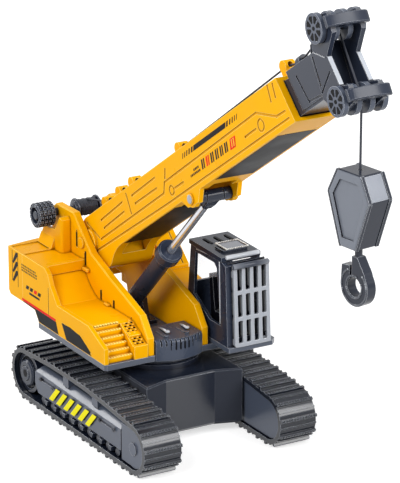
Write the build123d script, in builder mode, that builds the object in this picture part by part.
# Toy crawler crane with a telescopic boom, in millimetres.
# Z is up, the boom points along -Y and X = 0 is the middle plane.
# The origin is on the floor, on the axis that the upper part slews about.
import os
from math import atan2, cos, degrees, radians, sin

from build123d import *

# ---------------------------------------------------------------- sizes
# fits
running_fit = 0.06          # radial play of a pin or shaft that turns in its bore
seat_gap = 0.3              # play between faces that pass each other

# tracks
overall_width = 78.0
track_width = 16.5
front_wheel_y, front_belt_radius = -48.0, 11.2
rear_wheel_y, rear_belt_radius = 43.5, 11.75
belt_arch_rise = 1.9        # how far the slack run bows up over its rear end
shoe_count = 38
shoe_thickness = 1.8
grouser_height, grouser_width = 1.1, 1.3
rib_height, rib_width = 0.5, 0.7
wheel_play = 0.35           # between a wheel's rim and the inside of the belt

# track frames
frame_rear_y, frame_front_y = 32.5, -38.0
frame_bevel = 3.0
frame_recess = 0.9          # the frame stands this far inside the belt's edges
frame_rear_nose = 2.5
cover_thickness = 1.8
roller_count, roller_radius, roller_width = 9, 1.7, 8.0
hub_radius, hub_bore = 5.6, 2.2
carrier_length, carrier_width = 4.4, 5.0

# car body and slewing ring
body_side_front, body_mid_front, body_mid_half = 29.8, 26.3, 11.2
body_bottom = 3.2
body_side_gap = 0.6         # between the car body's flanks and the track frames' edges
body_over_belt = 3.4        # the body's top stands this far over the rear wheel's shoes
ring_radius, ring_height, ring_step = 17.2, 2.4, 1.0
ring_gap = 0.2
kingpin_radius = 4.0

# deck
deck_half_width = 33.5
deck_front_y, deck_rear_y = -16.9, 41.0
deck_over_ring, deck_thickness = 5.0, 2.4

# A-plates and winch
plate_gap, plate_thickness = 1.5, 3.0
winch_y, winch_height = 59.5, 38.9
winch_shaft_radius = 1.6
drum_radius, flange_radius, flange_thickness = 2.8, 4.2, 1.2
drum_inner_x, drum_outer_x = -7.4, 6.2
knob_radius, knob_length, knob_ridges = 5.0, 12.2, 18

# covers and counterweight
cover_side_gap = 0.1
cover_floor, cover_lip, cover_top = 11.7, 21.2, 25.3     # heights over the deck
scoop_foot_y, scoop_head_y, cover_rear_y = 24.6, 35.3, 54.0
cover_wall = 2.0
cover_left_front_y = 5.0
far_hood_inner = 8.7        # the far hood's inner side, out from its A-plate
far_hood_foot_y, far_hood_head_y = 32.9, 48.0
far_hood_foot, far_hood_head = 16.0, 28.8                # heights over the deck
weight_bottom, weight_top = 4.6, 25.3                    # heights over the deck
weight_depth, weight_bulge, weight_wall = 12.6, 3.4, 2.0
stair_steps, stair_length = 6, 13.5
stair_inner, stair_outer = 19.8, 31.6
louvre_box_depth, louvre_box_height = 5.0, 9.8

# boom, in its own plane: along from the pivot, and up square to it
boom_angle = 33.1
boom_pivot_y, boom_pivot_height = 38.0, 31.7
boom_pin_radius = 2.2
boom_length, boom_half_width, boom_wall = 180.0, 9.5, 1.6
mouth_rake, mouth_depth = 4.6, 5.0
boom_top, boom_bottom = 9.9, -8.6
boom_slot_half_width, boom_tunnel_start = 5.4, 14.0
lobe_depth = 5.4            # of the round foot under the boom
mouth_plate_length = 16.0
ear_along, ear_drop, ear_thickness, ear_radius = 90.7, 1.4, 2.0, 3.4
ear_pin_radius = 1.3
groove_width, groove_depth = 0.9, 0.4
guide_stations = (6.0, 20.0, 33.0, 78.0)
guide_hole_height, guide_radius, guide_bore = 3.7, 2.4, 1.1
last_guide_back, last_guide_height = 9.5, 4.9

# inner boom and head
inner_half_width, inner_overlap = 6.4, 80.0
head_box_half_width, head_box_top, head_box_length = 6.9, 10.4, 18.7
head_reach = 10.6           # from the box's front to the two sheave axles
lower_sheave_height, upper_sheave_height = -11.0, 16.4
sheave_radius, sheave_thickness, sheave_spacing = 5.6, 2.0, 5.5
sheave_hub_radius, sheave_hole_radius, sheave_hole_ring = 1.85, 1.05, 3.7
head_shaft_radius = 1.2
cheek_outer, cheek_thickness = 7.1, 1.9
guard_front, guard_thickness, guard_height, guard_half_width = 9.8, 2.0, 5.7, 8.7

# luffing cylinder
cylinder_foot_y, cylinder_foot_height = 21.5, 8.7
barrel_radius, barrel_length, collar_radius, collar_length = 3.6, 45.5, 5.2, 5.0
rod_radius, rod_end_half_width, rod_end_length = 1.7, 3.7, 7.0
rod_end_radius, eye_side_gap = 2.6, 0.2
rod_tail = 22.0             # from the foot pin to the inner end of the rod
foot_pin_radius, foot_half_width = 1.5, 3.2

# rope, hook block and hook
rope_radius = 0.45
rope_fall = 25.6            # from the lower sheaves' axle down to the block's top
block_height, block_thickness = 28.4, 11.0
block_top_width, block_mid_width, block_bottom_width, block_shoulder = 12.6, 22.0, 8.3, 9.2
block_wall, block_cavity_radius, block_cavity_depth = 1.5, 2.4, 24.5
block_panel_inset, block_panel_depth = 2.6, 0.8
rope_in_block = 9.6
hook_yaw = 8.0
hook_shank_radius, hook_eye_drop = 1.4, 15.1
hook_outer_radius, hook_inner_radius, hook_thickness = 7.3, 3.6, 4.0

# cab
cab_gap, cab_width = 1.8, 17.8
cab_front_y, cab_rear_y = -28.4, 0.4
cab_lean = 3.1
cab_height_front, cab_height_rear = 33.4, 37.2
cab_brow_depth = 3.2        # the roof's front edge lies this far behind the windscreen's top
cab_wall, cab_roof_thickness, cab_corner = 1.3, 1.9, 3.0
cab_floor_thickness, cab_floor_length, cab_floor_width = 2.0, 33.0, 22.6
grille_columns, grille_rows = 4, 3
guard_grille_width, guard_grille_height = 16.4, 34.2
grille_border, grille_bar, grille_cross_bar = 1.5, 1.5, 1.5
guard_stand_off, guard_plate = 1.0, 1.2

# front cover
front_cover_top = 6.2
front_cover_rear_y, front_cover_bulge, front_cover_grooves = -2.4, 3.4, 10

# ---------------------------------------------------------------- derived places
track_outer = overall_width / 2
track_inner = track_outer - track_width
belt_inset = shoe_thickness + grouser_height
belt_arch_height = 2 * rear_belt_radius + belt_arch_rise
frame_outer = track_outer - frame_recess
frame_inner = track_inner + frame_recess
frame_bottom = belt_inset + 3.9
frame_top = 2 * front_belt_radius - belt_inset - 1.3
body_half_width = track_inner - body_side_gap
body_top = 2 * rear_belt_radius + body_over_belt
ring_base_top = body_top + ring_height
deck_top = ring_base_top + deck_over_ring
deck_bottom = deck_top - deck_thickness

plate_inner = boom_half_width + plate_gap
plate_outer = plate_inner + plate_thickness
cover_inner = plate_outer + cover_side_gap
winch_z = deck_top + winch_height
weight_rear_y = cover_rear_y + weight_depth

boom_pivot_z = deck_top + boom_pivot_height
boom_along = Vector(0, -cos(radians(boom_angle)), sin(radians(boom_angle)))
boom_up = Vector(0, sin(radians(boom_angle)), cos(radians(boom_angle)))
boom_pivot = Vector(0, boom_pivot_y, boom_pivot_z)
boom_plane = Plane(origin=boom_pivot, x_dir=boom_along, z_dir=(-1, 0, 0))


def on_boom(along, height):
    return boom_pivot + boom_along * along + boom_up * height


def beside_boom(x):
    # the boom's own plane, moved out to x
    return Plane(origin=boom_pivot + Vector(x, 0, 0), x_dir=boom_along, z_dir=(-1, 0, 0))


ear_height = boom_bottom - ear_drop
inner_start = boom_length - inner_overlap
inner_end = boom_length + head_box_length
inner_top = boom_top - boom_wall - seat_gap
inner_bottom = boom_bottom + boom_wall + seat_gap
head_along = inner_end + head_reach
mouth_half_width = inner_half_width + seat_gap

cylinder_foot_z = deck_top + cylinder_foot_height
cylinder_foot = Vector(0, cylinder_foot_y, cylinder_foot_z)
cylinder_run = on_boom(ear_along, ear_height) - cylinder_foot
cylinder_span = cylinder_run.length
cylinder_dir = cylinder_run.normalized()
cylinder_plane = Plane(origin=cylinder_foot, x_dir=(1, 0, 0), z_dir=cylinder_dir)

lower_sheave = on_boom(head_along, lower_sheave_height)
rope_y = lower_sheave.Y - sheave_hub_radius - rope_radius - 0.1
block_top_z = lower_sheave.Z - rope_fall
block_bottom_z = block_top_z - block_height
hook_eye_z = block_bottom_z - hook_eye_drop
hook_plane = Plane(origin=(0, rope_y, 0), x_dir=(sin(radians(hook_yaw)), -cos(radians(hook_yaw)), 0),
                   z_dir=(-cos(radians(hook_yaw)), -sin(radians(hook_yaw)), 0))

cab_inner_x = plate_outer + cab_gap
cab_outer_x = cab_inner_x + cab_width
cab_middle_x = (cab_inner_x + cab_outer_x) / 2
cab_floor_top = deck_top + cab_floor_thickness

os.makedirs("parts", exist_ok=True)


def finish(piece, label):
    piece.part.label = label
    export_step(piece.part, "parts/" + label + ".step")


def side_plane(x):
    # a plane across X whose own axes are Y and Z
    return Plane.YZ.offset(x)


def both_sides(piece, label):
    # piece is made for the right side, x < 0; its mirror image is the left one
    finish(piece, label + "_right")
    with BuildPart() as twin:
        mirror(piece.part, about=Plane.YZ)
    finish(twin, label + "_left")


def over_deck(points):
    # points given as y and height over the deck
    return [(y, deck_top + height) for y, height in points]


# ---------------------------------------------------------------- tracks
def belt_outline():
    front_low, front_high = (front_wheel_y, 0), (front_wheel_y, 2 * front_belt_radius)
    rear_low, rear_high = (rear_wheel_y, 0), (rear_wheel_y, 2 * rear_belt_radius)
    Line(front_low, rear_low)
    ThreePointArc(rear_low, (rear_wheel_y + rear_belt_radius, rear_belt_radius), rear_high)
    ThreePointArc(rear_high, (0, belt_arch_height), front_high)
    ThreePointArc(front_high, (front_wheel_y - front_belt_radius, front_belt_radius), front_low)


def belt_face(inset):
    with BuildSketch(Plane.XY, mode=Mode.PRIVATE) as face:
        with BuildLine():
            belt_outline()
        make_face()
        offset(amount=-inset, kind=Kind.ARC, mode=Mode.REPLACE)
    return face.sketch


shoe_line = belt_face(grouser_height).faces()[0].outer_wire()
# each shoe has a bar and a low rib: share of the shoe's pitch, height, width
shoe_bars = ((0.25, grouser_height, grouser_width), (0.72, rib_height, rib_width))
with BuildPart() as track:
    with BuildSketch(side_plane(-track_outer)):
        add(belt_face(grouser_height))
        for shoe in range(shoe_count):
            for share, height, width in shoe_bars:
                spot = shoe_line.position_at((shoe + share) / shoe_count)
                heading = shoe_line.tangent_at((shoe + share) / shoe_count)
                with Locations(Location((spot.X, spot.Y, 0), degrees(atan2(heading.Y, heading.X)))):
                    Rectangle(width, 2 * height)
        add(belt_face(belt_inset), mode=Mode.SUBTRACT)
    extrude(amount=track_width)
both_sides(track, "track")

# ---------------------------------------------------------------- track frames
nose_radius = front_belt_radius - belt_inset - wheel_play
frame_middle_z = (frame_bottom + frame_top) / 2
slot_length, slot_width, slot_depth = 12.5, 1.4, 0.6
with BuildPart() as track_frame:
    # box frame between the wheels, with its upper outer edge bevelled
    with BuildSketch(side_plane(-frame_outer)):
        with BuildLine():
            Polyline((frame_rear_y, frame_bottom), (frame_rear_y + frame_rear_nose, frame_bottom + 3.5),
                     (frame_rear_y + frame_rear_nose, frame_top - 3.0), (frame_rear_y, frame_top),
                     (frame_front_y, frame_top), (frame_front_y, frame_bottom), close=True)
        make_face()
    extrude(amount=frame_outer - frame_inner)
    chamfer(track_frame.edges().filter_by(Axis.Y).group_by(Axis.Z)[-1].sort_by(Axis.X)[0],
            length=frame_bevel, length2=frame_bevel * 0.8)
    # cover over the front wheel, round at its nose
    with BuildSketch(side_plane(-frame_outer)):
        with Locations((front_wheel_y, front_belt_radius)):
            Circle(nose_radius)
        with Locations(((front_wheel_y + frame_front_y) / 2, front_belt_radius)):
            Rectangle(frame_front_y - front_wheel_y, 2 * nose_radius - 0.6)
    extrude(amount=cover_thickness)
    # smooth inner plate over the whole inside of the belt
    with BuildSketch(side_plane(-frame_inner - cover_thickness)):
        add(belt_face(belt_inset + wheel_play))
    extrude(amount=cover_thickness)
    # groove between the frame and the wheel cover, and the two long slots
    with BuildSketch(side_plane(-frame_outer)):
        with Locations((frame_front_y, front_belt_radius)):
            Rectangle(0.8, 2 * nose_radius)
        for slot_y in (23.5, -25.5):
            with Locations((slot_y, frame_middle_z + slot_width)):
                SlotOverall(slot_length, slot_width)
    extrude(amount=slot_depth, mode=Mode.SUBTRACT)
    # boss on the front wheel's axle
    with BuildSketch(side_plane(-frame_outer)):
        with Locations((front_wheel_y, front_belt_radius)):
            Circle(hub_bore + 0.4)
    extrude(amount=-slot_depth)
    # brackets that carry the slack run
    for bracket_y in (9.5, -15.0):
        with BuildSketch(side_plane(-frame_outer + 0.7)):
            with Locations((bracket_y, (frame_top - 1.0 + belt_arch_height - belt_inset - 0.8) / 2)):
                Rectangle(carrier_length, belt_arch_height - belt_inset - frame_top + 0.2)
        extrude(amount=carrier_width)
both_sides(track_frame, "track_frame")

# ---------------------------------------------------------------- wheels and rollers
wheel_inner_face = frame_inner + cover_thickness
axle_radius = 3.0
# name, y, height, belt radius, outer face, hub radius, bore (0 for none)
wheels = (("front_wheel", front_wheel_y, front_belt_radius, frame_outer - cover_thickness, axle_radius, 0),
          ("rear_wheel", rear_wheel_y, rear_belt_radius, frame_outer - 1.2, hub_radius, hub_bore))
for wheel_name, wheel_y, belt_radius, outer_face, boss_radius, bore in wheels:
    rim_radius = belt_radius - belt_inset - wheel_play
    wheel_width = outer_face - wheel_inner_face
    with BuildPart() as wheel:
        with BuildSketch(side_plane(-outer_face + 0.2)):
            with Locations((wheel_y, belt_radius)):
                Circle(rim_radius)
                Circle(rim_radius - 1.6, mode=Mode.SUBTRACT)
        extrude(amount=wheel_width - 2.2)
        with BuildSketch(side_plane(-outer_face + 1.6)):
            with Locations((wheel_y, belt_radius)):
                Circle(rim_radius - 1.2)
        extrude(amount=wheel_width - 4.0)
        with BuildSketch(side_plane(-outer_face + 0.2)):
            with Locations((wheel_y, belt_radius)):
                Circle(boss_radius)
                if bore:
                    Circle(bore, mode=Mode.SUBTRACT)
        extrude(amount=2.0)
        with BuildSketch(side_plane(-wheel_inner_face)):
            with Locations((wheel_y, belt_radius)):
                Circle(axle_radius)
        extrude(amount=-4.0)
    both_sides(wheel, wheel_name)

roller_z = belt_inset + roller_radius + 0.2
roller_end = 4.0            # from the frame's ends to the first and last roller
roller_step = (frame_rear_y - frame_front_y - 2 * roller_end) / (roller_count - 1)
with BuildPart() as lower_rollers:
    for roller in range(roller_count):
        with BuildSketch(side_plane(-frame_outer + 0.5)):
            with Locations((frame_front_y + roller_end + roller * roller_step, roller_z)):
                Circle(roller_radius)
        extrude(amount=roller_width)
both_sides(lower_rollers, "lower_rollers")

# ---------------------------------------------------------------- car body
with BuildPart() as car_body:
    with BuildSketch(Plane.XY.offset(body_bottom)):
        with BuildLine():
            Polyline((-body_half_width, -body_side_front), (-body_mid_half, -body_mid_front),
                     (body_mid_half, -body_mid_front), (body_half_width, -body_side_front),
                     (body_half_width, body_side_front), (body_mid_half, body_mid_front),
                     (-body_mid_half, body_mid_front), (-body_half_width, body_side_front), close=True)
        make_face()
    extrude(amount=body_top - body_bottom)
    chamfer(car_body.faces().sort_by(Axis.Z)[-1].edges(), length=0.6)
    chamfer(car_body.faces().sort_by(Axis.Z)[0].edges(), length=1.2)
    # pads that carry the two track frames
    with Locations((0, 0, frame_middle_z)):
        Box(2 * frame_inner, 46, frame_top - frame_bottom + 0.6)
finish(car_body, "car_body")

with BuildPart() as slewing_ring:
    with BuildSketch(Plane.XY.offset(body_top)):
        Circle(ring_radius)
    extrude(amount=ring_height)
    chamfer(slewing_ring.faces().sort_by(Axis.Z)[-1].edges(), length=0.5)
    with BuildSketch(Plane.XY.offset(ring_base_top - 0.5)):
        Circle(kingpin_radius)
    extrude(amount=deck_top - ring_base_top)
finish(slewing_ring, "slewing_ring")

# ---------------------------------------------------------------- deck
with BuildPart() as deck:
    with BuildSketch(Plane.XY.offset(deck_bottom)):
        with Locations((0, (deck_front_y + deck_rear_y) / 2)):
            Rectangle(2 * deck_half_width, deck_rear_y - deck_front_y)
    extrude(amount=deck_thickness)
    chamfer(deck.edges().filter_by(Axis.Z), length=1.0)
    # two ring steps under it
    for step_radius, step_bottom in ((ring_radius - ring_step, ring_base_top + ring_gap),
                                     (ring_radius + ring_step, deck_bottom - ring_step)):
        with BuildSketch(Plane.XY.offset(step_bottom)):
            Circle(step_radius)
        extrude(amount=deck_bottom - step_bottom)
    with BuildSketch(Plane.XY.offset(ring_base_top)):
        Circle(kingpin_radius + running_fit)
    extrude(amount=deck_top - ring_base_top - 0.4, mode=Mode.SUBTRACT)
finish(deck, "deck")

# ---------------------------------------------------------------- A-plates
plate_front = over_deck([(-16.3, 7.3), (-10.0, 15.3), (-2.0, 18.0), (14.6, 23.4)])
plate_head = [(30.4, boom_pivot_z - 2.6), (36.6, boom_pivot_z + 2.9), (45.4, winch_z + 3.6),
              (60.6, winch_z + 3.4), (64.6, winch_z + 0.6)]
plate_rear = over_deck([(64.6, 23.7), (62.6, 11.4), (47.0, 10.4), (44.0, 0)])
# grooves in the outer face: y, height over the deck, length
plate_grooves = ((42.4, 32.2, 7.6), (35.8, 25.2, 5.6), (21.8, 14.0, 4.6),
                 (11.7, 13.2, 3.4), (-3.2, 11.7, 1.6))
with BuildPart() as a_plate:
    with BuildSketch(side_plane(-plate_outer)):
        with BuildLine():
            Polyline((deck_front_y + 0.5, deck_top), *plate_front, *plate_head, *plate_rear, close=True)
        make_face()
    extrude(amount=plate_thickness)
    chamfer(a_plate.faces().sort_by(Axis.X)[0].edges(), length=0.35)
    for bore_y, bore_z, bore_radius in ((boom_pivot_y, boom_pivot_z, boom_pin_radius),
                                        (winch_y, winch_z, winch_shaft_radius + running_fit)):
        with BuildSketch(side_plane(-plate_outer)):
            with Locations((bore_y, bore_z)):
                Circle(bore_radius)
        extrude(amount=plate_thickness, mode=Mode.SUBTRACT)
    with BuildSketch(side_plane(-plate_outer)):
        for groove_y, groove_z, groove_length in plate_grooves:
            with Locations((groove_y, deck_top + groove_z)):
                Rectangle(groove_width, groove_length)
    extrude(amount=groove_depth, mode=Mode.SUBTRACT)
both_sides(a_plate, "a_plate")

# ---------------------------------------------------------------- side covers
cover_floor_z, cover_top_z = deck_top + cover_floor, deck_top + cover_top
cover_foot = over_deck([(cover_rear_y, weight_bottom), (43.2, 4.3), (39.8, 0)])
scoop_wall = over_deck([(scoop_foot_y - 1.2, cover_floor + 0.6), (29.4, 19.1), (31.2, 23.2),
                        (34.2, cover_top)])
near_foot_y = deck_front_y + 0.5
with BuildPart() as cover_right:
    with BuildSketch(side_plane(-deck_half_width)):
        with BuildLine():
            Polyline((near_foot_y, deck_top), (near_foot_y, deck_top + 6.6), (-2.9, cover_floor_z + 0.6),
                     *scoop_wall, (cover_rear_y, cover_top_z), *cover_foot, close=True)
        make_face()
    extrude(amount=deck_half_width - cover_inner)
    # scoop and floor, behind the outer wall and under the lip of the top
    with BuildSketch(side_plane(-deck_half_width + cover_wall)):
        with BuildLine():
            Polyline((near_foot_y - 1, cover_top_z + 1), (near_foot_y - 1, deck_top + 6.2),
                     (-2.9, cover_floor_z), (scoop_foot_y, cover_floor_z))
            ThreePointArc((scoop_foot_y, cover_floor_z), (scoop_foot_y + 6.4, cover_floor_z + 3.8),
                          (scoop_head_y + 0.8, deck_top + cover_lip))
            Polyline((scoop_head_y + 0.8, deck_top + cover_lip), (scoop_head_y, deck_top + cover_lip),
                     (scoop_head_y, cover_top_z + 1), (near_foot_y - 1, cover_top_z + 1))
        make_face()
    extrude(amount=deck_half_width - cover_wall - cover_inner, mode=Mode.SUBTRACT)
    # sunk top with a rim on its outer and front edges
    with BuildSketch(Plane.XY.offset(cover_top_z)):
        with Locations(((-deck_half_width - cover_inner) / 2 + 0.5, (scoop_head_y + cover_rear_y) / 2 + 1)):
            Rectangle(deck_half_width - cover_inner - 1.0, cover_rear_y - scoop_head_y - 2.0)
    extrude(amount=-0.5, mode=Mode.SUBTRACT)
    # stairs between two stringers
    stair_rise = cover_floor / stair_steps
    stair_run = stair_length / stair_steps
    with BuildSketch(side_plane(-stair_outer)):
        with BuildLine():
            corners = [(deck_front_y - 0.1, deck_top)]
            for step in range(stair_steps):
                corners.append((deck_front_y + 1.5 + step * stair_run, deck_top + step * stair_rise))
                corners.append((deck_front_y + 1.5 + step * stair_run, deck_top + (step + 1) * stair_rise))
            corners += [(-1.0, cover_floor_z), (-1.0, cover_floor_z + 4),
                        (deck_front_y - 0.1, cover_floor_z + 4)]
            Polyline(*corners, close=True)
        make_face()
    extrude(amount=stair_outer - stair_inner, mode=Mode.SUBTRACT)
    # room for the louvred box
    with BuildSketch(Plane.XY.offset(deck_top)):
        with Locations((-(cover_inner + stair_inner) / 2, deck_front_y + louvre_box_depth / 2)):
            Rectangle(stair_inner - cover_inner, louvre_box_depth)
    extrude(amount=cover_top, mode=Mode.SUBTRACT)
    # sunk triangle and the door line on the outer side
    with BuildSketch(side_plane(-deck_half_width)):
        Polygon(*over_deck([(19.4, 6.5), (4.0, 6.0), (-5.9, 1.3), (15.3, 1.1)]), align=None)
        with Locations((31.0, deck_top + 9.1)):
            Rectangle(0.5, 17.4)
    extrude(amount=0.5, mode=Mode.SUBTRACT)
finish(cover_right, "side_cover_right")

hood_inner = plate_outer + far_hood_inner
with BuildPart() as cover_left:
    # low body with its own scoop, right up to the A-plate
    with BuildSketch(side_plane(cover_inner)):
        with BuildLine():
            Polyline((cover_left_front_y, deck_top), (cover_left_front_y, cover_floor_z + 0.8),
                     (scoop_foot_y - 3.0, cover_floor_z + 0.8))
            ThreePointArc((scoop_foot_y - 3.0, cover_floor_z + 0.8), (28.0, cover_floor_z + 2.0),
                          (far_hood_foot_y, deck_top + far_hood_foot - 1.5))
            Polyline((far_hood_foot_y, deck_top + far_hood_foot - 1.5), (40.0, deck_top + cover_lip),
                     (cover_rear_y, deck_top + cover_lip), *cover_foot, (cover_left_front_y, deck_top))
        make_face()
    extrude(amount=deck_half_width - cover_inner)
    # hood with a sloping front over its outer part
    with BuildSketch(side_plane(hood_inner)):
        Polygon(*over_deck([(far_hood_foot_y, far_hood_foot - 1.5), (far_hood_foot_y, far_hood_foot),
                            (far_hood_head_y, far_hood_head), (cover_rear_y, far_hood_head),
                            (cover_rear_y, far_hood_foot - 1.5)]), align=None)
    extrude(amount=deck_half_width - hood_inner)
    # line beside the hood's outer edge and the door line
    slope = degrees(atan2(far_hood_head - far_hood_foot, far_hood_head_y - far_hood_foot_y))
    with BuildSketch(Plane(origin=(deck_half_width - 2.6, far_hood_foot_y, deck_top + far_hood_foot),
                           x_dir=(1, 0, 0), z_dir=(0, -sin(radians(slope)), cos(radians(slope))))):
        with Locations((0, 10.0)):
            Rectangle(0.6, 19.0)
    extrude(amount=-groove_depth, mode=Mode.SUBTRACT)
    with BuildSketch(side_plane(deck_half_width)):
        with Locations((31.0, deck_top + 9.1)):
            Rectangle(0.5, 12.0)
    extrude(amount=-0.5, mode=Mode.SUBTRACT)
finish(cover_left, "side_cover_left")

with BuildPart() as louvred_box:
    with BuildSketch(Plane.XY.offset(deck_top)):
        with Locations((-(cover_inner + stair_inner) / 2, deck_front_y + louvre_box_depth / 2)):
            Rectangle(stair_inner - cover_inner, louvre_box_depth)
    extrude(amount=louvre_box_height)
finish(louvred_box, "louvred_box")

# ---------------------------------------------------------------- counterweight
slot_rear_y = weight_rear_y - 1.8
weight_bottom_z, weight_top_z = deck_top + weight_bottom, deck_top + weight_top
with BuildPart() as counterweight:
    with BuildSketch(Plane.XY.offset(weight_bottom_z)):
        with BuildLine():
            Polyline((-deck_half_width, weight_rear_y), (-deck_half_width, cover_rear_y),
                     (-cover_inner, cover_rear_y), (-cover_inner, slot_rear_y), (cover_inner, slot_rear_y),
                     (cover_inner, cover_rear_y), (deck_half_width, cover_rear_y),
                     (deck_half_width, weight_rear_y))
            ThreePointArc((deck_half_width, weight_rear_y), (0, weight_rear_y + weight_bulge),
                          (-deck_half_width, weight_rear_y))
        make_face()
    extrude(amount=weight_top_z - weight_bottom_z)
    chamfer(counterweight.faces().sort_by(Axis.Z)[0].edges().sort_by(Axis.Y)[-1], length=1.5)
    # sunk top with a rim, and hollow from below
    for depth, height, inset in ((0.5, weight_top_z, 1.0), (-5.0, weight_bottom_z, weight_wall)):
        with BuildSketch(Plane.XY.offset(height)):
            for side in (-1, 1):
                with Locations((side * (deck_half_width + cover_inner) / 2 - side * inset / 2,
                                (cover_rear_y + weight_rear_y) / 2)):
                    Rectangle(deck_half_width - cover_inner - inset, weight_depth - 2 * inset)
        extrude(amount=-depth, mode=Mode.SUBTRACT)
finish(counterweight, "counterweight")

# ---------------------------------------------------------------- front cover
front_cover_half = plate_inner - 0.4
front_cover_top_z = deck_top + front_cover_top
with BuildPart() as front_cover:
    for part_bottom, part_top, part_rear in ((deck_top, front_cover_top_z, front_cover_rear_y),
                                             (deck_bottom, deck_top, deck_front_y - 0.1)):
        with BuildSketch(Plane.XY.offset(part_bottom)):
            with BuildLine():
                Polyline((-front_cover_half, deck_front_y - 0.4), (-front_cover_half, part_rear),
                         (front_cover_half, part_rear), (front_cover_half, deck_front_y - 0.4))
                ThreePointArc((front_cover_half, deck_front_y - 0.4), (0, deck_front_y - front_cover_bulge),
                              (-front_cover_half, deck_front_y - 0.4))
            make_face()
        extrude(amount=part_top - part_bottom)
    fillet(front_cover.faces().sort_by(Axis.Z)[-1].edges().sort_by(Axis.Y)[0], radius=1.4)
    groove_pitch = 2 * front_cover_half / (front_cover_grooves + 1)
    for groove in range(front_cover_grooves):
        groove_x = -front_cover_half + (groove + 1) * groove_pitch
        groove_y = deck_front_y - front_cover_bulge * (1 - (groove_x / front_cover_half) ** 2)
        with Locations((groove_x, groove_y, front_cover_top_z)):
            Box(0.6, 2.4, 5.0, mode=Mode.SUBTRACT)
    for boss_x in (-5.0, 4.4):
        with Locations((boss_x, deck_front_y + 1.2, front_cover_top_z + 0.3)):
            Cylinder(0.9, 1.0)
        with Locations((boss_x - 0.4, deck_front_y + 5.6, front_cover_top_z)):
            Box(0.6, 7.0, 0.5)
finish(front_cover, "front_cover")

# ---------------------------------------------------------------- winch stands, boom pin, cylinder bracket
stand_front_y, stand_depth, stand_flare = 47.6, 4.5, 1.8
stand_outer_x = -plate_outer - stand_depth
with BuildPart() as winch_stand:
    # upright with a leaning rear edge, carried by the cover's top
    with BuildSketch(side_plane(stand_outer_x)):
        Polygon((stand_front_y, cover_top_z - 0.5), (cover_rear_y - 0.2, cover_top_z - 0.5),
                (cover_rear_y - 0.2, cover_top_z + 5.0), (cover_rear_y - 0.6, winch_z - 5.2),
                (stand_front_y + 1.4, winch_z + 1.2), (stand_front_y, winch_z), align=None)
    extrude(amount=stand_depth - cover_side_gap)
    fillet(winch_stand.edges().filter_by(Axis.Z).group_by(Axis.Y)[0].sort_by(Axis.X)[0], radius=1.2)
    # wing over the counterweight, and the flared foot
    with BuildSketch(side_plane(stand_outer_x)):
        Polygon((cover_rear_y - 0.2, weight_top_z), (weight_rear_y + 1.0, weight_top_z),
                (weight_rear_y - 3.6, winch_z - 6.2), (cover_rear_y - 0.6, winch_z - 5.2), align=None)
    extrude(amount=1.6)
    with BuildSketch(Plane.XZ.offset(-cover_rear_y + 0.2)):
        Polygon((stand_outer_x - stand_flare, weight_top_z), (stand_outer_x, weight_top_z),
                (stand_outer_x, weight_top_z + 4.4), align=None)
    extrude(amount=-(weight_rear_y - cover_rear_y - 1.0))
both_sides(winch_stand, "winch_stand")

with BuildPart() as boom_pin:
    with BuildSketch(side_plane(-plate_outer - 0.8)):
        with Locations((boom_pivot_y, boom_pivot_z)):
            Circle(boom_pin_radius)
    extrude(amount=2 * (plate_outer + 0.8))
finish(boom_pin, "boom_pin")

bracket_length, bracket_width, bracket_base, bracket_cheek = 13.0, 16.0, 1.6, 2.2
bracket_inner = foot_half_width + seat_gap
with BuildPart() as cylinder_bracket:
    with BuildSketch(Plane.XY.offset(deck_top)):
        with Locations((0, cylinder_foot_y)):
            Rectangle(bracket_width, bracket_length)
    extrude(amount=bracket_base)
    for side_x in (bracket_inner, -bracket_inner - bracket_cheek):
        with BuildSketch(side_plane(side_x)):
            with BuildLine():
                Polyline((cylinder_foot_y - 5.0, deck_top + bracket_base),
                         (cylinder_foot_y - 2.8, cylinder_foot_z), (cylinder_foot_y + 2.8, cylinder_foot_z),
                         (cylinder_foot_y + 5.0, deck_top + bracket_base), close=True)
            make_face()
            with Locations((cylinder_foot_y, cylinder_foot_z)):
                Circle(2.8)
        extrude(amount=bracket_cheek)
    with BuildSketch(side_plane(-bracket_inner - bracket_cheek - 0.7)):
        with Locations((cylinder_foot_y, cylinder_foot_z)):
            Circle(foot_pin_radius)
    extrude(amount=2 * (bracket_inner + bracket_cheek + 0.7))
finish(cylinder_bracket, "cylinder_bracket")

# ---------------------------------------------------------------- winch
shaft_end = plate_outer + 0.3
# radius, from x, to x
drum_steps = ((winch_shaft_radius, -shaft_end, shaft_end), (drum_radius, drum_inner_x, drum_outer_x),
              (flange_radius, drum_inner_x, drum_inner_x + flange_thickness),
              (flange_radius, drum_outer_x - flange_thickness, drum_outer_x))
with BuildPart() as winch_drum:
    for radius, from_x, to_x in drum_steps:
        with BuildSketch(side_plane(from_x)):
            with Locations((winch_y, winch_z)):
                Circle(radius)
        extrude(amount=to_x - from_x)
finish(winch_drum, "winch_drum")

knob_end = side_plane(-shaft_end - knob_length)
with BuildPart() as winch_knob:
    with BuildSketch(knob_end):
        with Locations((winch_y, winch_z)):
            Circle(knob_radius - 0.5)
            with PolarLocations(knob_radius - 0.5, knob_ridges):
                Rectangle(1.0, 0.9)
    extrude(amount=knob_length)
    with BuildSketch(knob_end):
        with Locations((winch_y, winch_z)):
            Circle(knob_radius - 1.4)
            Circle(winch_shaft_radius, mode=Mode.SUBTRACT)
    extrude(amount=0.9, mode=Mode.SUBTRACT)
finish(winch_knob, "winch_knob")

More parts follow.
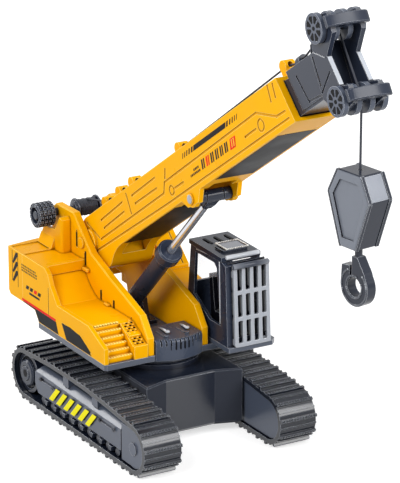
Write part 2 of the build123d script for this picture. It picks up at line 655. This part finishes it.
# ---------------------------------------------------------------- boom
def cut_lines(face_x, lines):
    # shallow cuts along each chain of points, in a face square to X
    with BuildSketch(beside_boom(face_x)) as cuts:
        for chain in lines:
            for start, end in zip(chain, chain[1:]):
                run = Vector(*end) - Vector(*start)
                middle = (Vector(*end) + Vector(*start)) / 2
                with Locations(Location((middle.X, middle.Y, 0), degrees(atan2(run.Y, run.X)))):
                    Rectangle(run.length + groove_width, groove_width)
    extrude(cuts.sketch, amount=groove_depth, both=True, mode=Mode.SUBTRACT)


foot_lines = (((13.4, 4.9), (34.9, 5.8)), ((14.0, 1.3), (34.3, 2.0)), ((0.7, 7.6), (7.6, -0.6)))
long_lines = (((8.8, -1.9), (70.7, -1.6), (73.6, 2.1), (boom_length - 24.6, 3.2), (boom_length - 11.1, -2.7),
               (boom_length - 4.6, -2.9)),
              ((2.0, -5.0), (71.5, -6.1), (boom_length - 3.4, -6.0)))
mid_lines = (((44.7, 5.7), (66.8, 6.1)), ((45.7, 2.1), (66.0, 2.0)), ((40.2, 7.8), (40.2, -0.2)),
             ((77.0, 6.5), (75.0, 3.5)), ((79.6, -2.4), (88.3, -2.5)),
             ((boom_length - 36.8, -2.1), (boom_length - 27.9, -2.0)))
mouth_lines = (((boom_length - 11.5, 9.3), (boom_length - 12.0, 3.5)),
               ((boom_length - 7.7, 8.6), (boom_length - 8.2, 3.8)))
# round bosses on both sides: along, height, radius
boom_bosses = ((77.6, -2.4, 2.2), (boom_length - 23.6, -1.9, 2.6))

tunnel_half_width = boom_half_width - boom_wall
tunnel_middle = (boom_top - boom_wall + boom_bottom + boom_wall) / 2
tunnel_height = boom_top - boom_bottom - 2 * boom_wall
tunnel_end = boom_length - mouth_rake - mouth_depth
slot_end = boom_length - mouth_plate_length
strip_along, strip_length = boom_length - 73.0, 6.5
with BuildPart() as boom:
    # side outline with a raked mouth, the round foot about the pivot and the lobe under it
    with BuildSketch(boom_plane):
        with BuildLine():
            Line((0, boom_top), (boom_length - mouth_rake, boom_top))
            Line((boom_length - mouth_rake, boom_top), (boom_length, boom_bottom))
            Line((boom_length, boom_bottom), (24.0, boom_bottom))
            ThreePointArc((24.0, boom_bottom), (17.0, boom_bottom - 1.4), (12.4, boom_bottom - 4.0))
            ThreePointArc((12.4, boom_bottom - 4.0), (8.0, boom_bottom - lobe_depth),
                          (3.6, boom_bottom - 3.8))
            ThreePointArc((3.6, boom_bottom - 3.8), (-9.0, -1.8), (0, boom_top))
        make_face()
    extrude(amount=boom_half_width, both=True)
    # tunnel for the inner boom, narrower at the mouth
    for from_along, to_along, half_width in ((boom_tunnel_start, tunnel_end, tunnel_half_width),
                                             (tunnel_end - 1, boom_length + 1, mouth_half_width)):
        with BuildSketch(boom_plane):
            with Locations(((from_along + to_along) / 2, tunnel_middle)):
                Rectangle(to_along - from_along, tunnel_height)
        extrude(amount=half_width, both=True, mode=Mode.SUBTRACT)
    # slot along the underside, up to the mouth's plate
    with BuildSketch(boom_plane):
        with Locations(((boom_tunnel_start + slot_end) / 2, boom_bottom)):
            Rectangle(slot_end - boom_tunnel_start, 2 * boom_wall + 1)
    extrude(amount=boom_slot_half_width, both=True, mode=Mode.SUBTRACT)
    # the slot is as wide as the ears stand apart where the cylinder's pin passes
    with BuildSketch(boom_plane):
        with Locations((ear_along, boom_bottom)):
            Rectangle(15.0, 2 * boom_wall + 1)
    extrude(amount=boom_half_width - ear_thickness, both=True, mode=Mode.SUBTRACT)
    # cross strip over the slot
    with BuildSketch(boom_plane):
        with Locations((strip_along, boom_bottom + boom_wall / 2)):
            Rectangle(strip_length, boom_wall)
    extrude(amount=boom_slot_half_width + 1.0, both=True)
    # bosses on the pivot, up to the A-plates
    with BuildSketch(boom_plane):
        Circle(5.0)
    extrude(amount=plate_inner - 0.2, both=True)
    with BuildSketch(boom_plane):
        Circle(boom_pin_radius + running_fit)
    extrude(amount=plate_inner + 1, both=True, mode=Mode.SUBTRACT)
    for side in (-1, 1):
        # ears for the luffing cylinder
        with BuildSketch(beside_boom(side * (boom_half_width - ear_thickness / 2))):
            with BuildLine():
                Polyline((ear_along - 8.6, boom_bottom + 0.6), (ear_along - 4.4, ear_height - 2.2),
                         (ear_along + 4.4, ear_height - 2.9), (ear_along + 9.0, boom_bottom + 0.6),
                         close=True)
            make_face()
            with Locations((ear_along, ear_height)):
                Circle(ear_radius)
        extrude(amount=ear_thickness / 2, both=True)
        for along, height, radius in boom_bosses:
            with BuildSketch(beside_boom(side * boom_half_width)):
                with Locations((along, height)):
                    Circle(radius)
                    Circle(radius - 0.8, mode=Mode.SUBTRACT)
            extrude(amount=groove_depth, both=True, mode=Mode.SUBTRACT)
        cut_lines(side * boom_half_width, foot_lines + long_lines + mid_lines + mouth_lines)
finish(boom, "boom")

with BuildPart() as boom_guides:
    # along, height of the hole over the boom's top
    for station, hole_height in (*((place, guide_hole_height) for place in guide_stations),
                                 (boom_length - last_guide_back, last_guide_height)):
        with BuildSketch(boom_plane):
            with Locations((station, boom_top + hole_height)):
                Circle(guide_radius)
            with Locations((station, boom_top + hole_height / 2)):
                Rectangle(2 * guide_radius - 1.2, hole_height)
        extrude(amount=2.2, both=True)
        with BuildSketch(Plane(origin=on_boom(station - 4, boom_top + hole_height), x_dir=(1, 0, 0),
                               z_dir=boom_along)):
            Circle(guide_bore)
        extrude(amount=8.0, mode=Mode.SUBTRACT)
finish(boom_guides, "boom_guides")

with BuildPart() as ear_caps:
    # round caps on the outer faces of the two ears
    for side in (-1, 1):
        with BuildSketch(Plane(origin=on_boom(ear_along, ear_height) + Vector(side * boom_half_width, 0, 0),
                               x_dir=boom_along, z_dir=(side, 0, 0))):
            Circle(ear_pin_radius + 0.8)
        extrude(amount=0.8)
finish(ear_caps, "ear_caps")

with BuildPart() as ear_pin:
    # a stub in each ear that stops beside the rod's eye, where the linkage of the cylinder is open
    pin_reach = rod_end_half_width + eye_side_gap
    for side in (-1, 1):
        with BuildSketch(Plane(origin=on_boom(ear_along, ear_height) + Vector(side * pin_reach, 0, 0),
                               x_dir=boom_along, z_dir=(side, 0, 0))):
            Circle(ear_pin_radius)
        extrude(amount=boom_half_width - ear_thickness - pin_reach)
finish(ear_pin, "ear_pin")

# ---------------------------------------------------------------- inner boom and head
inner_pad_length = 12.0
box_rear_top, box_rear_bottom = boom_length - 0.7, boom_length + 2.9
box_bottom = -5.6
lug_height, lug_radius, lug_bore, lug_thickness = 12.6, 2.5, 1.1, 2.8
box_line = (((boom_length + 5.5, 6.4), (boom_length + 8.9, -4.2), (boom_length + 17.2, -4.9)),)
with BuildPart() as inner_boom:
    # tube inside the boom, with a wider pad at its rear end
    for from_along, to_along, half_width in ((inner_start, inner_end - 1, inner_half_width),
                                             (inner_start, inner_start + inner_pad_length,
                                              tunnel_half_width - seat_gap)):
        with BuildSketch(boom_plane):
            with Locations(((from_along + to_along) / 2, (inner_top + inner_bottom) / 2)):
                Rectangle(to_along - from_along, inner_top - inner_bottom)
        extrude(amount=half_width, both=True)
    # box in front of the mouth, with its own raked rear face
    with BuildSketch(boom_plane):
        Polygon((box_rear_top, head_box_top), (inner_end, head_box_top), (inner_end, box_bottom),
                (box_rear_bottom, box_bottom), align=None)
    extrude(amount=head_box_half_width, both=True)
    for side in (-1, 1):
        cut_lines(side * head_box_half_width, box_line)
    # rope lug on top
    with BuildSketch(Plane(origin=on_boom(boom_length, 0), x_dir=(1, 0, 0), z_dir=boom_along)):
        with Locations((0, lug_height)):
            Circle(lug_radius)
        with Locations((0, (lug_height + head_box_top) / 2 - 0.5)):
            Rectangle(2 * lug_radius, lug_height - head_box_top + 1.0)
        with Locations((0, lug_height)):
            Circle(lug_bore, mode=Mode.SUBTRACT)
    extrude(amount=lug_thickness)
finish(inner_boom, "inner_boom")

guard_top, guard_low = guard_height / 2, -guard_height / 2
cheek_lines = (((inner_end + 1.2, 8.6), (inner_end + 1.0, -1.8)),
               ((inner_end + 2.6, 14.0), (inner_end + 1.6, 10.5)),
               ((head_along - 1.5, 0.3), (inner_end + 0.6, -4.4)))
with BuildPart() as head_frame:
    with BuildSketch(boom_plane):
        with BuildLine():
            Polyline((inner_end, 9.2), (inner_end + 2.6, 14.7), (head_along - 4.6, upper_sheave_height + 3.2),
                     (head_along, upper_sheave_height + 4.2),
                     (head_along + guard_front, upper_sheave_height + guard_top),
                     (head_along + guard_front, upper_sheave_height + guard_low),
                     (head_along - 0.3, upper_sheave_height - 10.5),
                     (head_along + 2.1, lower_sheave_height + 4.9),
                     (head_along + guard_front, lower_sheave_height + guard_top),
                     (head_along + guard_front, lower_sheave_height + guard_low),
                     (head_along, lower_sheave_height - 4.0), (head_along - 4.0, lower_sheave_height - 3.2),
                     (inner_end, -6.8), close=True)
        make_face()
    extrude(amount=cheek_outer, both=True)
    with BuildSketch(boom_plane):
        with Locations((inner_end + 2.0 + 20.0, 0)):
            Rectangle(40.0, 60.0)
    extrude(amount=cheek_outer - cheek_thickness, both=True, mode=Mode.SUBTRACT)
    for side in (-1, 1):
        cut_lines(side * cheek_outer, cheek_lines)
    for sheave_height in (lower_sheave_height, upper_sheave_height):
        # guard bar across the front, and the bore for the sheaves' shaft
        with BuildSketch(boom_plane):
            with Locations((head_along + guard_front - guard_thickness / 2, sheave_height)):
                Rectangle(guard_thickness, guard_height)
        extrude(amount=guard_half_width, both=True)
        with BuildSketch(boom_plane):
            with Locations((head_along, sheave_height)):
                Circle(head_shaft_radius + running_fit)
        extrude(amount=cheek_outer + 1, both=True, mode=Mode.SUBTRACT)
finish(head_frame, "head_frame")

disc_places = [(place - 1.5) * sheave_spacing for place in range(4)]
shaft_half = disc_places[-1]
hub_half = cheek_outer - cheek_thickness - seat_gap
for sheave_name, sheave_height in (("lower_sheaves", lower_sheave_height),
                                   ("upper_sheaves", upper_sheave_height)):
    axle_point = on_boom(head_along, sheave_height)
    with BuildPart() as sheaves:
        for place in disc_places:
            with BuildSketch(Plane(origin=axle_point + Vector(place, 0, 0), x_dir=boom_along,
                                   z_dir=(-1, 0, 0))):
                Circle(sheave_radius)
            extrude(amount=sheave_thickness / 2, both=True)
        for radius, half in ((head_shaft_radius, shaft_half), (sheave_hub_radius, hub_half)):
            with BuildSketch(Plane(origin=axle_point, x_dir=boom_along, z_dir=(-1, 0, 0))):
                Circle(radius)
            extrude(amount=half, both=True)
        # eight holes in each end disc, between its spokes
        for side in (-1, 1):
            end_plane = Plane(origin=axle_point + Vector(side * (shaft_half + sheave_thickness / 2), 0, 0),
                              x_dir=boom_along, z_dir=(-side, 0, 0))
            with BuildSketch(end_plane):
                with PolarLocations(sheave_hole_ring, 8):
                    Circle(sheave_hole_radius)
            extrude(amount=0.9, mode=Mode.SUBTRACT)
    finish(sheaves, sheave_name)

# ---------------------------------------------------------------- luffing cylinder
with BuildPart() as cylinder_barrel:
    with BuildSketch(cylinder_plane):
        Circle(barrel_radius)
    extrude(amount=barrel_length)
    with BuildSketch(cylinder_plane.offset(barrel_length - collar_length)):
        Circle(collar_radius)
    extrude(amount=collar_length)
    chamfer(cylinder_barrel.faces().sort_by(Axis((0, 0, 0), tuple(cylinder_dir)))[-1].edges(), length=0.7)
    # flattened foot round the pin
    with BuildSketch(side_plane(-foot_half_width)):
        with Locations((cylinder_foot_y, cylinder_foot_z)):
            Circle(barrel_radius)
    extrude(amount=2 * foot_half_width)
    for side in (-1, 1):
        with BuildSketch(cylinder_plane.offset(-5.0)):
            with Locations((side * (foot_half_width + 2.0), 0)):
                Rectangle(4.0, 12.0)
        extrude(amount=10.0, mode=Mode.SUBTRACT)
    with BuildSketch(cylinder_plane.offset(8.0)):
        Circle(rod_radius + running_fit)
    extrude(amount=barrel_length, mode=Mode.SUBTRACT)
    with BuildSketch(side_plane(-foot_half_width - 1)):
        with Locations((cylinder_foot_y, cylinder_foot_z)):
            Circle(foot_pin_radius + running_fit)
    extrude(amount=2 * foot_half_width + 2, mode=Mode.SUBTRACT)
finish(cylinder_barrel, "cylinder_barrel")

rod_front = cylinder_span - rod_end_length
with BuildPart() as cylinder_rod:
    with BuildSketch(cylinder_plane.offset(rod_tail)):
        Circle(rod_radius)
    extrude(amount=rod_front - rod_tail)
finish(cylinder_rod, "cylinder_rod")

with BuildPart() as rod_end:
    # block on the end of the rod, round about the pin between the ears
    eye_plane = Plane(origin=on_boom(ear_along, ear_height), x_dir=cylinder_dir, z_dir=(-1, 0, 0))
    with BuildSketch(eye_plane):
        Circle(rod_end_radius)
        with Locations((-rod_end_length / 2, 0)):
            Rectangle(rod_end_length, 2 * rod_end_radius)
        Circle(ear_pin_radius + running_fit, mode=Mode.SUBTRACT)
    extrude(amount=rod_end_half_width, both=True)
finish(rod_end, "rod_end")

# ---------------------------------------------------------------- rope, hook block, hook
with BuildPart() as hoist_rope:
    with BuildSketch(Plane(origin=(0, rope_y, block_top_z - rope_in_block), x_dir=(1, 0, 0), z_dir=(0, 0, 1))):
        Circle(rope_radius)
    extrude(amount=lower_sheave.Z - block_top_z + rope_in_block)
finish(hoist_rope, "hoist_rope")

with BuildPart() as hook_block:
    with BuildSketch(hook_plane):
        with BuildLine():
            Polyline((-block_top_width / 2, block_top_z), (block_top_width / 2, block_top_z),
                     (block_mid_width / 2, block_top_z - block_shoulder),
                     (block_bottom_width / 2, block_bottom_z), (-block_bottom_width / 2, block_bottom_z),
                     (-block_mid_width / 2, block_top_z - block_shoulder), close=True)
        make_face()
    extrude(amount=block_thickness / 2, both=True)
    fillet(hook_block.edges(), radius=0.9)
    # sunk panel on each face, with the outline of the block
    for side in (-1, 1):
        with BuildSketch(hook_plane.offset(side * block_thickness / 2)):
            with BuildLine():
                Polyline((-block_top_width / 2 + 1.6, block_top_z - 3.4),
                         (block_top_width / 2 - 1.6, block_top_z - 3.4),
                         (block_mid_width / 2 - block_panel_inset, block_top_z - block_shoulder - 0.4),
                         (block_bottom_width / 2 - 1.0, block_bottom_z + 3.6),
                         (-block_bottom_width / 2 + 1.0, block_bottom_z + 3.6),
                         (-block_mid_width / 2 + block_panel_inset, block_top_z - block_shoulder - 0.4),
                         close=True)
            make_face()
        extrude(amount=-side * block_panel_depth, mode=Mode.SUBTRACT)
    # hollow for the rope, and the bore that the hook's shank turns in
    rope_axis = Plane(origin=(0, rope_y, block_top_z), x_dir=(1, 0, 0), z_dir=(0, 0, -1))
    rope_bore, shank_bore = rope_radius + 0.5, hook_shank_radius + running_fit
    for depth_from, depth_to, radius in ((0, block_cavity_depth, rope_bore),
                                         (block_wall, block_cavity_depth, block_cavity_radius),
                                         (block_cavity_depth - 1, block_height + 1, shank_bore)):
        with BuildSketch(rope_axis.offset(depth_from)):
            Circle(radius)
        extrude(amount=depth_to - depth_from, mode=Mode.SUBTRACT)
finish(hook_block, "hook_block")

hook_throat, hook_tip_height = 1.1, 7.6
throat_x = -hook_shank_radius - hook_throat
with BuildPart() as hook:
    with BuildSketch(hook_plane):
        with Locations((0, hook_eye_z)):
            Circle(hook_outer_radius)
            # tip that rises beside the shank, and the flare of the shank into the ring
            Polygon((-hook_outer_radius, 0), (-hook_outer_radius + 0.5, hook_tip_height - 0.6),
                    (throat_x, hook_tip_height), (throat_x, 0), align=None)
            Polygon((hook_outer_radius - 0.1, 1.2), (hook_outer_radius - 2.2, 6.2), (hook_shank_radius, 11.4),
                    (-hook_shank_radius, 11.4), (-hook_shank_radius, 0), (0, 0), align=None)
            Circle(hook_inner_radius, mode=Mode.SUBTRACT)
            with Locations((throat_x + hook_throat / 2, hook_tip_height / 2 + 2.0)):
                Rectangle(hook_throat, hook_tip_height, mode=Mode.SUBTRACT)
    extrude(amount=hook_thickness / 2, both=True)
    with BuildSketch(Plane(origin=(0, rope_y, hook_eye_z + 5.2), x_dir=(1, 0, 0), z_dir=(0, 0, 1))):
        Circle(hook_shank_radius)
    extrude(amount=hook_eye_drop - 5.2 + block_height - block_cavity_depth + 0.3)
    # head that keeps the shank in the block
    with BuildSketch(Plane(origin=(0, rope_y, block_top_z - block_cavity_depth + 0.2), x_dir=(1, 0, 0),
                           z_dir=(0, 0, 1))):
        Circle(block_cavity_radius - 0.4)
    extrude(amount=1.0)
finish(hook, "hook")

# ---------------------------------------------------------------- cab
with BuildPart() as cab_floor:
    with BuildSketch(Plane.XY.offset(deck_top)):
        with Locations((cab_inner_x + cab_floor_width / 2 - 0.2, cab_front_y + cab_floor_length / 2 - 1.6)):
            Rectangle(cab_floor_width, cab_floor_length)
    extrude(amount=cab_floor_thickness)
    chamfer(cab_floor.edges().filter_by(Axis.Z).sort_by(Axis.X)[-2:], length=2.4)
finish(cab_floor, "cab_floor")

# side outline of the cab: y and height over its floor
lean = sin(radians(cab_lean)) * cab_height_front
rear_lean = 3.9
cab_front_top = (cab_front_y + lean, cab_height_front)
cab_brow = (cab_front_y + lean + cab_brow_depth, cab_height_rear - cab_roof_thickness - 0.6)
cab_rear_top = (cab_rear_y - rear_lean + 4.2, cab_height_rear - cab_roof_thickness)
cab_rear_foot = (cab_rear_y + 4.2, 0)


def over_floor(*points):
    return [(y, cab_floor_top + height) for y, height in points]


with BuildPart() as cab_shell:
    with BuildSketch(side_plane(cab_inner_x)):
        Polygon(*over_floor((cab_front_y, 0), cab_front_top, cab_brow, cab_rear_top, cab_rear_foot),
                align=None)
    extrude(amount=cab_width)
    # bevelled outer front corner, along the windscreen's side
    chamfer(cab_shell.faces().sort_by(Axis.Y)[0].edges().sort_by(Axis.X)[-1], length=cab_corner)
    with BuildSketch(side_plane(cab_inner_x + cab_wall)):
        Polygon(*over_floor((cab_front_y + cab_wall, -1),
                            (cab_front_y + lean + cab_wall, cab_height_front - 0.6),
                            (cab_brow[0] + cab_wall, cab_height_rear),
                            (cab_rear_top[0] - cab_wall, cab_height_rear),
                            (cab_rear_foot[0] - cab_wall, -1)), align=None)
    extrude(amount=cab_width - 2 * cab_wall, mode=Mode.SUBTRACT)
    # side windows, cut through both sides, with a slanted lower edge
    with BuildSketch(side_plane(cab_inner_x - 1)):
        Polygon(*over_floor((cab_front_y + 5.2, 7.6), (cab_front_y + 8.6, cab_height_front - 2.4),
                            (cab_front_y + 10.6, cab_height_front - 0.6),
                            (cab_rear_y - 3.4, cab_height_front - 0.4),
                            (cab_rear_y - 2.2, 14.6), (cab_front_y + 14.2, 7.6)), align=None)
    extrude(amount=cab_width + 2, mode=Mode.SUBTRACT)
    # windscreen and rear window
    with BuildSketch(Plane.XZ.offset(-cab_front_y + 2)):
        with Locations((cab_middle_x - 0.6, cab_floor_top + 17.6)):
            Rectangle(cab_width - 6.4, 28.6)
    extrude(amount=-8, mode=Mode.SUBTRACT)
    with BuildSketch(Plane.XZ.offset(-cab_rear_y + 2)):
        with Locations((cab_middle_x, cab_floor_top + 24.6)):
            Rectangle(cab_width - 6.0, 12.0)
    extrude(amount=-9, mode=Mode.SUBTRACT)
finish(cab_shell, "cab_shell")

roof_slots = 3
with BuildPart() as cab_roof:
    with BuildSketch(side_plane(cab_inner_x - 0.4)):
        with BuildLine():
            Polyline(*over_floor(cab_brow, cab_rear_top, (cab_rear_top[0] + 0.8, cab_rear_top[1]),
                                 (cab_rear_top[0] + 0.8, cab_height_rear),
                                 (cab_brow[0] - 0.6, cab_height_rear - 0.6),
                                 (cab_brow[0] - 0.6, cab_brow[1])), close=True)
        make_face()
    extrude(amount=cab_width + 0.4)
    # a hatch frame at the front and slots behind it
    with BuildSketch(Plane.XY.offset(cab_floor_top + cab_height_rear)):
        for roof_slot in range(roof_slots):
            with Locations((cab_middle_x + (roof_slot - 1) * 4.9, cab_rear_top[0] - 5.2)):
                Rectangle(1.0, 5.4)
    extrude(amount=-0.9, mode=Mode.SUBTRACT)
    with BuildSketch(Plane.XY.offset(cab_floor_top + cab_height_rear - 0.4)):
        with Locations((cab_middle_x, cab_brow[0] + 7.4)):
            RectangleRounded(11.7, 7.4, 1.2)
            RectangleRounded(10.1, 5.8, 0.8, mode=Mode.SUBTRACT)
    extrude(amount=0.8)
finish(cab_roof, "cab_roof")

# the grille leans with the windscreen, on a plane in front of it
guard_foot = Vector(cab_inner_x + 2.5 + guard_grille_width / 2, cab_front_y - guard_stand_off, cab_floor_top)
guard_plane = Plane(origin=guard_foot, x_dir=(1, 0, 0),
                    z_dir=(0, -cos(radians(cab_lean)), sin(radians(cab_lean))))
opening_width = (guard_grille_width - 2 * grille_border - (grille_columns - 1) * grille_bar) / grille_columns
opening_height = (guard_grille_height - 2 * grille_border - (grille_rows - 1) * grille_cross_bar) / grille_rows
with BuildPart() as cab_guard:
    with BuildSketch(guard_plane):
        with Locations((0, guard_grille_height / 2)):
            RectangleRounded(guard_grille_width, guard_grille_height, 0.8)
            with GridLocations(opening_width + grille_bar, opening_height + grille_cross_bar,
                               grille_columns, grille_rows):
                RectangleRounded(opening_width, opening_height, 0.6, mode=Mode.SUBTRACT)
    extrude(amount=guard_plate)
    # studs that carry it off the cab's front
    with BuildSketch(guard_plane):
        with Locations((0, guard_grille_height / 2 - 1)):
            with GridLocations(guard_grille_width - 1.2, guard_grille_height - 6.0, 2, 2):
                Rectangle(1.2, 2.4)
    extrude(amount=-guard_stand_off * cos(radians(cab_lean)))
finish(cab_guard, "cab_guard")

with BuildPart() as cab_seat:
    with BuildSketch(side_plane(cab_inner_x + 5.2)):
        Polygon(*over_floor((-10.0, 0), (-18.0, 0), (-19.0, 9.3), (-9.6, 8.7), (-7.6, 23.7), (-5.0, 23.7),
                            (-6.6, 5.7)), align=None)
    extrude(amount=cab_width - 10.4)
    fillet(cab_seat.edges().filter_by(Axis.X), radius=0.7)
finish(cab_seat, "cab_seat")
